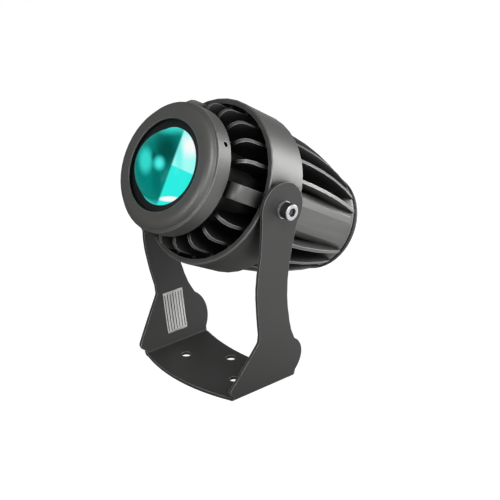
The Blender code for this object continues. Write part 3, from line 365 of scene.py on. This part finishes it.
def litLens(look, lines, spots, facing):
    # the dome magnifies what is behind it, so it shows as a few flat fields of cyan that meet in
    # sharp lines, painted across the lens as seen from the front quarter, with painted highlights and shade
    material, shader, add = newMaterial("polished borosilicate dome, lit cyan")
    spot = add("TexCoord").outputs["Object"]
    local = add("VectorMath", {0: spot, 1: lensMiddle}, operation="SUBTRACT").outputs[0]
    side, rise = [
        add("VectorMath", {0: local, 1: axis / mm}, operation="DOT_PRODUCT").outputs["Value"]
        for axis in facing
    ]

    def past(name):
        # 0 on one side of a line across the lens, 1 on the other
        toRight, upwards, distance, blur = lines[name]
        first = add("Math", {0: side, 1: toRight}, operation="MULTIPLY").outputs[0]
        both = add("Math", {0: rise, 1: upwards, 2: first}, operation="MULTIPLY_ADD").outputs[0]
        return add("MapRange", {
            "Value": both, "From Min": distance - blur, "From Max": distance + blur
        }, interpolation_type="SMOOTHSTEP").outputs[0]

    def within(name):
        # the share of an oval in its middle, down to 0 outside it
        x, y, width, height, blur, share = spots[name]
        across = add("Math", {0: side, 1: 1 / width, 2: -x / width}, operation="MULTIPLY_ADD")
        up = add("Math", {0: rise, 1: 1 / height, 2: -y / height}, operation="MULTIPLY_ADD")
        pair = add("CombineXYZ", {0: across.outputs[0], 1: up.outputs[0]}).outputs[0]
        far = add("VectorMath", {0: pair}, operation="LENGTH").outputs["Value"]
        return add("MapRange", {
            "Value": far, "From Min": 1 + blur, "From Max": 1 - blur, "To Max": share
        }, interpolation_type="SMOOTHSTEP").outputs[0]

    # streaks that run out from the chip's image on the dark half
    chipX, chipY = spots["chip"][:2]
    fromX = add("Math", {0: side, 1: chipX}, operation="SUBTRACT").outputs[0]
    fromY = add("Math", {0: rise, 1: chipY}, operation="SUBTRACT").outputs[0]
    angle = add("Math", {0: fromY, 1: fromX}, operation="ARCTAN2").outputs[0]
    streaks = add("TexNoise", {"W": angle, "Scale": look["streaks"], "Detail": 4.0}, noise_dimensions="1D")
    faint, full, most = look["streakShare"]
    streak = add("MapRange", {
        "Value": streaks.outputs["Fac"], "From Min": faint, "From Max": full, "To Max": most
    }).outputs[0]
    radius = add("VectorMath", {0: local}, operation="LENGTH").outputs["Value"]
    edge = add("MapRange", {
        "Value": radius, "From Min": look["rimMm"][0] * mm, "From Max": look["rimMm"][1] * mm,
        "To Max": look["rimShare"]
    }).outputs[0]
    darkHalf = layered(
        add, look["middle"], (look["deep"], streak), (look["pale"], within("patch")),
        (look["deep"], within("paintedShadow")), (look["deep"], within("notch")), (look["deep"], within("band")),
        (look["pale"], within("paintedCrownLight")), (look["chip"], within("chip")), (look["rim"], edge)
    )
    # upper pane with a painted highlight (sheen) and a strip of painted shade
    upper = layered(
        add, look["upperPane"], (look["paintedGlint"], within("sheen")), (look["lowerPane"], within("strip"))
    )
    brightHalf = layered(add, look["lowerPane"], (upper, past("panes")), (look["paintedGlint"], within("paintedGlint")))
    wave = add("TexNoise", {"Vector": spot, "Scale": perMm(look["waveMm"]), "Detail": 2.0})
    bump = add("Bump", {
        "Strength": look["waveShare"], "Distance": look["waveDepthMm"] * mm, "Height": wave.outputs["Fac"]
    })
    fill(shader, {
        "Base Color": hexColour(look["glass"]), "Roughness": look["roughness"], "IOR": 1.5,
        "Specular IOR Level": look["mirrored"], "Emission Strength": look["glow"],
        "Emission Color": layered(add, darkHalf, (brightHalf, past("halves"))), "Normal": bump.outputs[0]
    })
    return material


# sticker: white vinyl, printed here with plain rules only
stickerLook = {
    "vinyl": "#fbfbf9",
    "ink": "#2c2c2c",
    "roughness": 0.4,
    "ruleMm": 2.3,            # spacing of the rules
    "lineMm": 0.7,            # their width
    "firstMm": -19.6,         # where their spacing counts from
    "borderMm": (11.0, 35.5), # heights between which they run
    "fibreMm": 0.8,
    "fibreDepthMm": 0.03,
    "fibreShare": 0.1,
}


def ruledVinyl(look):
    # satin film with a border of its own colour and thin grey rules
    material, shader, add = newMaterial("white vinyl film with grey rules")
    spot = add("TexCoord").outputs["Object"]
    axes = add("SeparateXYZ", {0: spot}).outputs
    low, high = look["borderMm"]
    along = add("Math", {0: axes["Y"], 1: look["firstMm"] * mm}, operation="SUBTRACT").outputs[0]
    share = add("Math", {0: along, 1: look["ruleMm"] * mm}, operation="MODULO").outputs[0]
    rule = add("Math", {0: share, 1: look["lineMm"] * mm}, operation="LESS_THAN").outputs[0]
    above = add("Math", {0: axes["Z"], 1: low * mm}, operation="GREATER_THAN").outputs[0]
    below = add("Math", {0: axes["Z"], 1: high * mm}, operation="LESS_THAN").outputs[0]
    inside = add("Math", {0: above, 1: below}, operation="MULTIPLY").outputs[0]
    inked = add("Math", {0: rule, 1: inside}, operation="MULTIPLY").outputs[0]
    fibre = add("TexNoise", {"Vector": spot, "Scale": perMm(look["fibreMm"]), "Detail": 2.0})
    bump = add("Bump", {
        "Strength": look["fibreShare"], "Distance": look["fibreDepthMm"] * mm,
        "Height": fibre.outputs["Fac"]
    })
    fill(shader, {
        "Base Color": layered(add, look["vinyl"], (look["ink"], inked)),
        "Roughness": look["roughness"], "Normal": bump.outputs[0]
    })
    return material


# camera, at the photograph's angle
cameraLook = {
    "azimuth": 47.54,
    "elevation": 22.40,
    "distance": 0.8653,
    "lens": 98.95,
    "sensor": 36.0,
    "aimHeightMm": 80.55,
    "aimSideMm": 18.57,
}
azimuth = math.radians(cameraLook["azimuth"])
elevation = math.radians(cameraLook["elevation"])
viewRight = Vector((math.cos(azimuth), math.sin(azimuth), 0.0))
viewBack = Vector((
    math.sin(azimuth) * math.cos(elevation), -math.cos(azimuth) * math.cos(elevation), math.sin(elevation)
))
viewUp = viewBack.cross(viewRight)
cameraData = bpy.data.cameras.new("camera")
cameraData.lens = cameraLook["lens"]
cameraData.sensor_width = cameraLook["sensor"]
cameraData.clip_start = 0.01
camera = bpy.data.objects.new("camera", cameraData)
bpy.context.scene.collection.objects.link(camera)
aimPoint = Vector((0.0, 0.0, cameraLook["aimHeightMm"] * mm)) + viewRight * cameraLook["aimSideMm"] * mm
cameraMatrix = Matrix((viewRight, viewUp, viewBack)).transposed().to_4x4()
cameraMatrix.translation = aimPoint + viewBack * cameraLook["distance"]
camera.matrix_world = cameraMatrix
bpy.context.scene.camera = camera
print("camera set")

# finishes on the carried-over pieces
frontQuarter = (cameraMatrix.translation - lensMiddle).normalized()
lensRight = (viewRight - frontQuarter * viewRight.dot(frontQuarter)).normalized()
lensUp = frontQuarter.cross(lensRight)
paint = paintedCasting("sprayed anthracite on die-cast aluminium", castingLook)
shadedCoverPaint = paintedCasting("anthracite on die-cast aluminium, darkened for shade", shadedCoverLook)
coat = powderCoat(powderLook)
blackSteel = blackenedSteel(blackBoltLook)
zinc = zincPlate(zincLook)
lensMaterial = litLens(lensLook, lensLines, lensSpots, (lensRight, lensUp))
plastics = {name: moulded(name, look, mouldedSkin) for name, look in mouldedLooks.items()}
print("materials made:", len(bpy.data.materials))

finishes = {
    "heat_sink_body": paint,
    "front_bezel": paint,
    "rear_cover": shadedCoverPaint,
    "bracket": coat,
    "lens": lensMaterial,
    "pivot_bolt": blackSteel,
    "bezel_set_screw": blackSteel,
    "lock_washer": zinc,
    "led_board_screw": zinc,
    "rear_cover_screw": zinc,
    "friction_washer": plastics["black nylon washer"],
    "bezel_gasket": plastics["EPDM rubber, die-cut"],
    "lens_seal": plastics["EPDM rubber, die-cut"],
    "rear_gasket": plastics["EPDM rubber, die-cut"],
    "cable_gland_seal": plastics["EPDM rubber, die-cut"],
    "lens_retainer": plastics["moulded black polyamide"],
    "lens_holder": plastics["moulded black polyamide"],
    "thermal_pad": plastics["silicone thermal pad"],
    "led_board": plastics["white solder mask"],
    "led_emitter": plastics["clear silicone over chips"],
    "led_lead": plastics["red silicone insulation"],
    "driver_cradle": plastics["grey ABS, moulded"],
    "driver_board": plastics["green solder mask on glass epoxy"],
    "driver_terminal": plastics["green PBT terminal"],
    "driver_transformer": plastics["yellow polyester tape"],
    "driver_capacitor": plastics["black shrink sleeve"],
    "driver_inductor": plastics["sintered ferrite"],
    "cable_gland": plastics["gland polyamide, moulded"],
}


def finishFor(name):
    # longest name in the list that the piece's own name starts with
    matches = [start for start in finishes if name.startswith(start)]
    return finishes[max(matches, key=len)]


meshLook = {"joinMm": 0.002, "cornerAngle": 32.0}


def smoothPiece(piece, look):
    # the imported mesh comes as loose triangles: join them and shade round surfaces smooth up to an angle
    mesh = piece.data
    if "custom_normal" in mesh.attributes:
        mesh.attributes.remove(mesh.attributes["custom_normal"])
    mesh.shade_smooth()
    weld = piece.modifiers.new("join", "WELD")
    weld.merge_threshold = look["joinMm"] * mm
    split = piece.modifiers.new("corners", "EDGE_SPLIT")
    split.split_angle = math.radians(look["cornerAngle"])


# edges of the ridges along the tail: how long they are, how far out and how far behind the tilt axis
ridgeLook = {"alongMm": 6.0, "outMm": 27.5, "behindMm": 14.0}


def creaseRidges(piece, look):
    # the ridges have flats that meet at small angles, and keep those lines
    mesh = piece.data
    toHead = headMatrix.inverted()
    sharp = mesh.attributes.get("sharp_edge") or mesh.attributes.new("sharp_edge", "BOOLEAN", "EDGE")
    for edge in mesh.edges:
        ends = [toHead @ mesh.vertices[index].co for index in edge.vertices]
        along = abs(ends[0].z - ends[1].z) > look["alongMm"] * mm
        outside = min(end.xy.length for end in ends) > look["outMm"] * mm
        if along and outside and max(end.z for end in ends) < -look["behindMm"] * mm:
            sharp.data[edge.index].value = True


# bracket: the same folded sheet with the round ear and the tucked waist on the rear edge of each arm
earShape = {
    "radiusMm": 18.3,      # circle of the ear, seen from the side
    "heightMm": 15.5,
    "reachMm": 26.6,
    "tuckMm": 1.45,        # waist above it, drawn in most up to the first height
    "tuckFromMm": 31.0,
    "tuckToMm": 52.0,
    "rowsFromMm": 5.5,     # lowest row of points, and the distance between rows
    "stepMm": 0.75,
    "hingeMm": 8.0,        # line along the arm that stays put
}


def cutInRows(shape, look):
    # level rows of points, so that the outline can follow a curve
    height = look["rowsFromMm"]
    while height < look["tuckToMm"]:
        everything = shape.verts[:] + shape.edges[:] + shape.faces[:]
        level = Vector((0.0, 0.0, height * mm))
        bmesh.ops.bisect_plane(
            shape, geom=everything, plane_co=level, plane_no=(0.0, 0.0, 1.0), dist=0.001 * mm
        )
        height += look["stepMm"]


def rearEdge(height, rear, look):
    # how far back the arm's edge should lie at a height: the ear's circle, or else the plain edge drawn in
    chord = look["radiusMm"] ** 2 - (height - look["heightMm"]) ** 2
    ear = look["reachMm"] - look["radiusMm"] + math.sqrt(chord) if chord > 0 else 0.0
    share = min(1.0, (look["tuckToMm"] - height) / (look["tuckToMm"] - look["tuckFromMm"]))
    tuck = look["tuckMm"] * share * share * (3 - 2 * share) if height > look["heightMm"] else 0.0
    return max(ear, rear - tuck)


def makeEaredBracket(plain, look, join):
    # moves the rear edge's points of each row, less and less towards the hinge line
    shape = bmesh.new()
    shape.from_mesh(plain.data)
    bmesh.ops.remove_doubles(shape, verts=shape.verts[:], dist=join * mm)
    cutInRows(shape, look)
    rows = {}
    for point in shape.verts:
        if point.co.y > 0 and look["rowsFromMm"] * mm <= point.co.z <= look["tuckToMm"] * mm:
            rows.setdefault(round(point.co.z / mm, 2), []).append(point)
    for height, points in rows.items():
        rear = max(point.co.y for point in points) / mm
        shift = rearEdge(height, rear, look) - rear
        for point in points:
            part = (point.co.y / mm - look["hingeMm"]) / (rear - look["hingeMm"])
            if part > 0:
                point.co.y += shift * part * mm
    mesh = bpy.data.meshes.new("eared_bracket")
    shape.to_mesh(mesh)
    shape.free()
    piece = bpy.data.objects.new("eared_bracket", mesh)
    bpy.context.scene.collection.objects.link(piece)
    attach(piece, "bracket")
    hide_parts("bracket")
    return piece


earedBracket = makeEaredBracket(nodes["bracket"], earShape, meshLook["joinMm"])
earedBracket.data.materials.append(coat)
print("bracket's arms shaped")
creaseRidges(nodes["heat_sink_body"], ridgeLook)
for name, piece in nodes.items():
    piece.data.materials.clear()
    piece.data.materials.append(finishFor(name))
    smoothPiece(piece, meshLook)
smoothPiece(earedBracket, meshLook)
print("finishes set on", len(nodes), "pieces")

# sticker on the inner side of the left arm, bent with it
stickerShape = {
    "frontMm": -9.0, "rearMm": 7.5, "lowMm": 9.5, "highMm": 37.0,
    "standOffMm": 0.15, "filmMm": 0.05, "rows": 12,
}
armShape = {"footMm": 43.4, "topMm": 56.2, "flatMm": 106.2, "bow": 1.8, "sheetMm": 2.0}


def armInnerSide(height, shape):
    # distance of the arm's inner face from the middle plane, at a height
    rise = max(0.0, 1.0 - height / shape["flatMm"])
    return shape["topMm"] - (shape["topMm"] - shape["footMm"]) * rise ** shape["bow"] - shape["sheetMm"]


def makeSticker(shape, arm):
    build = bmesh.new()
    grid = []
    for row in range(shape["rows"] + 1):
        height = shape["lowMm"] + (shape["highMm"] - shape["lowMm"]) * row / shape["rows"]
        x = -(armInnerSide(height, arm) - shape["standOffMm"]) * mm
        sides = (shape["frontMm"], shape["rearMm"])
        grid.append([build.verts.new((x, y * mm, height * mm)) for y in sides])
    for lower, upper in zip(grid, grid[1:]):
        build.faces.new((lower[0], lower[1], upper[1], upper[0]))
    bmesh.ops.recalc_face_normals(build, faces=build.faces)
    mesh = bpy.data.meshes.new("rating_sticker")
    build.to_mesh(mesh)
    build.free()
    mesh.shade_smooth()
    sticker = bpy.data.objects.new("rating_sticker", mesh)
    bpy.context.scene.collection.objects.link(sticker)
    mesh.materials.append(ruledVinyl(stickerLook))
    film = sticker.modifiers.new("film", "SOLIDIFY")
    film.thickness = shape["filmMm"] * mm
    film.offset = 0.0
    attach(sticker, "bracket")


makeSticker(stickerShape, armShape)
print("sticker made")

# floor, world and lamps
stageLook = {
    "floor": "#a0a0a0",                # dull enough to keep the shadow
    "floorSize": 6.0,
    "floorDropMm": 0.2,
    "lift": 0.9,                       # glow that brings the floor up to the white of the background
    "shadeSide": math.radians(50),     # way to the lamps across the floor
    "shadeReach": (0.0, 0.12),         # where their side of the floor begins, in metres
    "world": 0.2,
    "whiteSide": (1.0, 0.25, 0.55),    # way to the white part of the studio
    "whiteReach": (0.35, 1.0),         # how it fades away from there, as a cosine
    "aim": (0.0, 0.0, 0.1),
}


def seenAsWhite(add, spot, side, reach, fade):
    # 1 for the camera and through glass, and for mirrored rays on the lamps' side only
    rays = add("LightPath").outputs
    away = add("VectorMath", {0: spot, 1: side}, operation="DOT_PRODUCT").outputs["Value"]
    clear = add("MapRange", {
        "Value": away, "From Min": reach[0], "From Max": reach[1]
    }, interpolation_type=fade).outputs[0]
    mirrored = add("Math", {0: rays["Is Glossy Ray"], 1: clear}, operation="MULTIPLY").outputs[0]
    direct = add("Math", {
        0: rays["Is Camera Ray"], 1: rays["Is Transmission Ray"]
    }, operation="MAXIMUM").outputs[0]
    return add("Math", {0: direct, 1: mirrored}, operation="MAXIMUM").outputs[0]


def makeFloor(look):
    mesh = bpy.data.meshes.new("floor")
    build = bmesh.new()
    bmesh.ops.create_grid(build, x_segments=1, y_segments=1, size=look["floorSize"])
    build.to_mesh(mesh)
    build.free()
    floor = bpy.data.objects.new("floor", mesh)
    floor.location.z = -look["floorDropMm"] * mm
    bpy.context.scene.collection.objects.link(floor)
    material, shader, add = newMaterial("matt white studio paper")
    # reflections show the lit side of the paper, and not the side that the light itself shades
    spot = add("TexCoord").outputs["Object"]
    lampSide = Vector((math.cos(look["shadeSide"]), math.sin(look["shadeSide"]), 0.0))
    seen = seenAsWhite(add, spot, lampSide, look["shadeReach"], "LINEAR")
    lift = add("Math", {0: seen, 1: look["lift"]}, operation="MULTIPLY").outputs[0]
    fill(shader, {
        "Base Color": hexColour(look["floor"]), "Roughness": 0.9, "Specular IOR Level": 0.0,
        "Emission Color": (1, 1, 1, 1), "Emission Strength": lift
    })
    mesh.materials.append(material)


def makeWorld(look):
    # white behind the light and in its reflections of the lit side, dim elsewhere
    world = bpy.data.worlds.new("studio")
    bpy.context.scene.world = world
    world.use_nodes = True
    tree = world.node_tree
    tree.nodes.clear()
    add = partial(addNode, tree)
    way = add("TexCoord").outputs["Generated"]
    lampSide = Vector(look["whiteSide"]).normalized()
    seen = seenAsWhite(add, way, lampSide, look["whiteReach"], "SMOOTHSTEP")
    strength = add("MapRange", {"Value": seen, "To Min": look["world"]}).outputs[0]
    air = add("Background", {"Color": (1, 1, 1, 1), "Strength": strength})
    add("OutputWorld", {"Surface": air.outputs[0]})


lamps = {
    "top right softbox": {"from": (0.72, -0.25, 0.9), "size": 0.5, "watts": 4.0},
    "right softbox": {"from": (1.0, 0.15, 0.6), "size": 0.5, "watts": 1.0},
    "rear right strip": {"from": (0.32, 1.05, 0.25), "size": 0.45, "watts": 6.0},
    "front right softbox": {"from": (0.78, -0.72, 0.45), "size": 0.3, "watts": 1.6},
    "front softbox": {"from": (0.15, -1.1, 0.32), "size": 0.5, "watts": 2.8},
}


def makeLamp(name, look, aim):
    data = bpy.data.lights.new(name, "AREA")
    data.energy = look["watts"]
    data.shape = "SQUARE"
    data.size = look["size"]
    lamp = bpy.data.objects.new(name, data)
    bpy.context.scene.collection.objects.link(lamp)
    lamp.location = look["from"]
    lamp.rotation_euler = (Vector(aim) - lamp.location).to_track_quat("-Z", "Y").to_euler()


makeFloor(stageLook)
makeWorld(stageLook)
for name, look in lamps.items():
    makeLamp(name, look, stageLook["aim"])
bpy.context.scene.view_settings.view_transform = "Standard"
print("stage and lamps set")
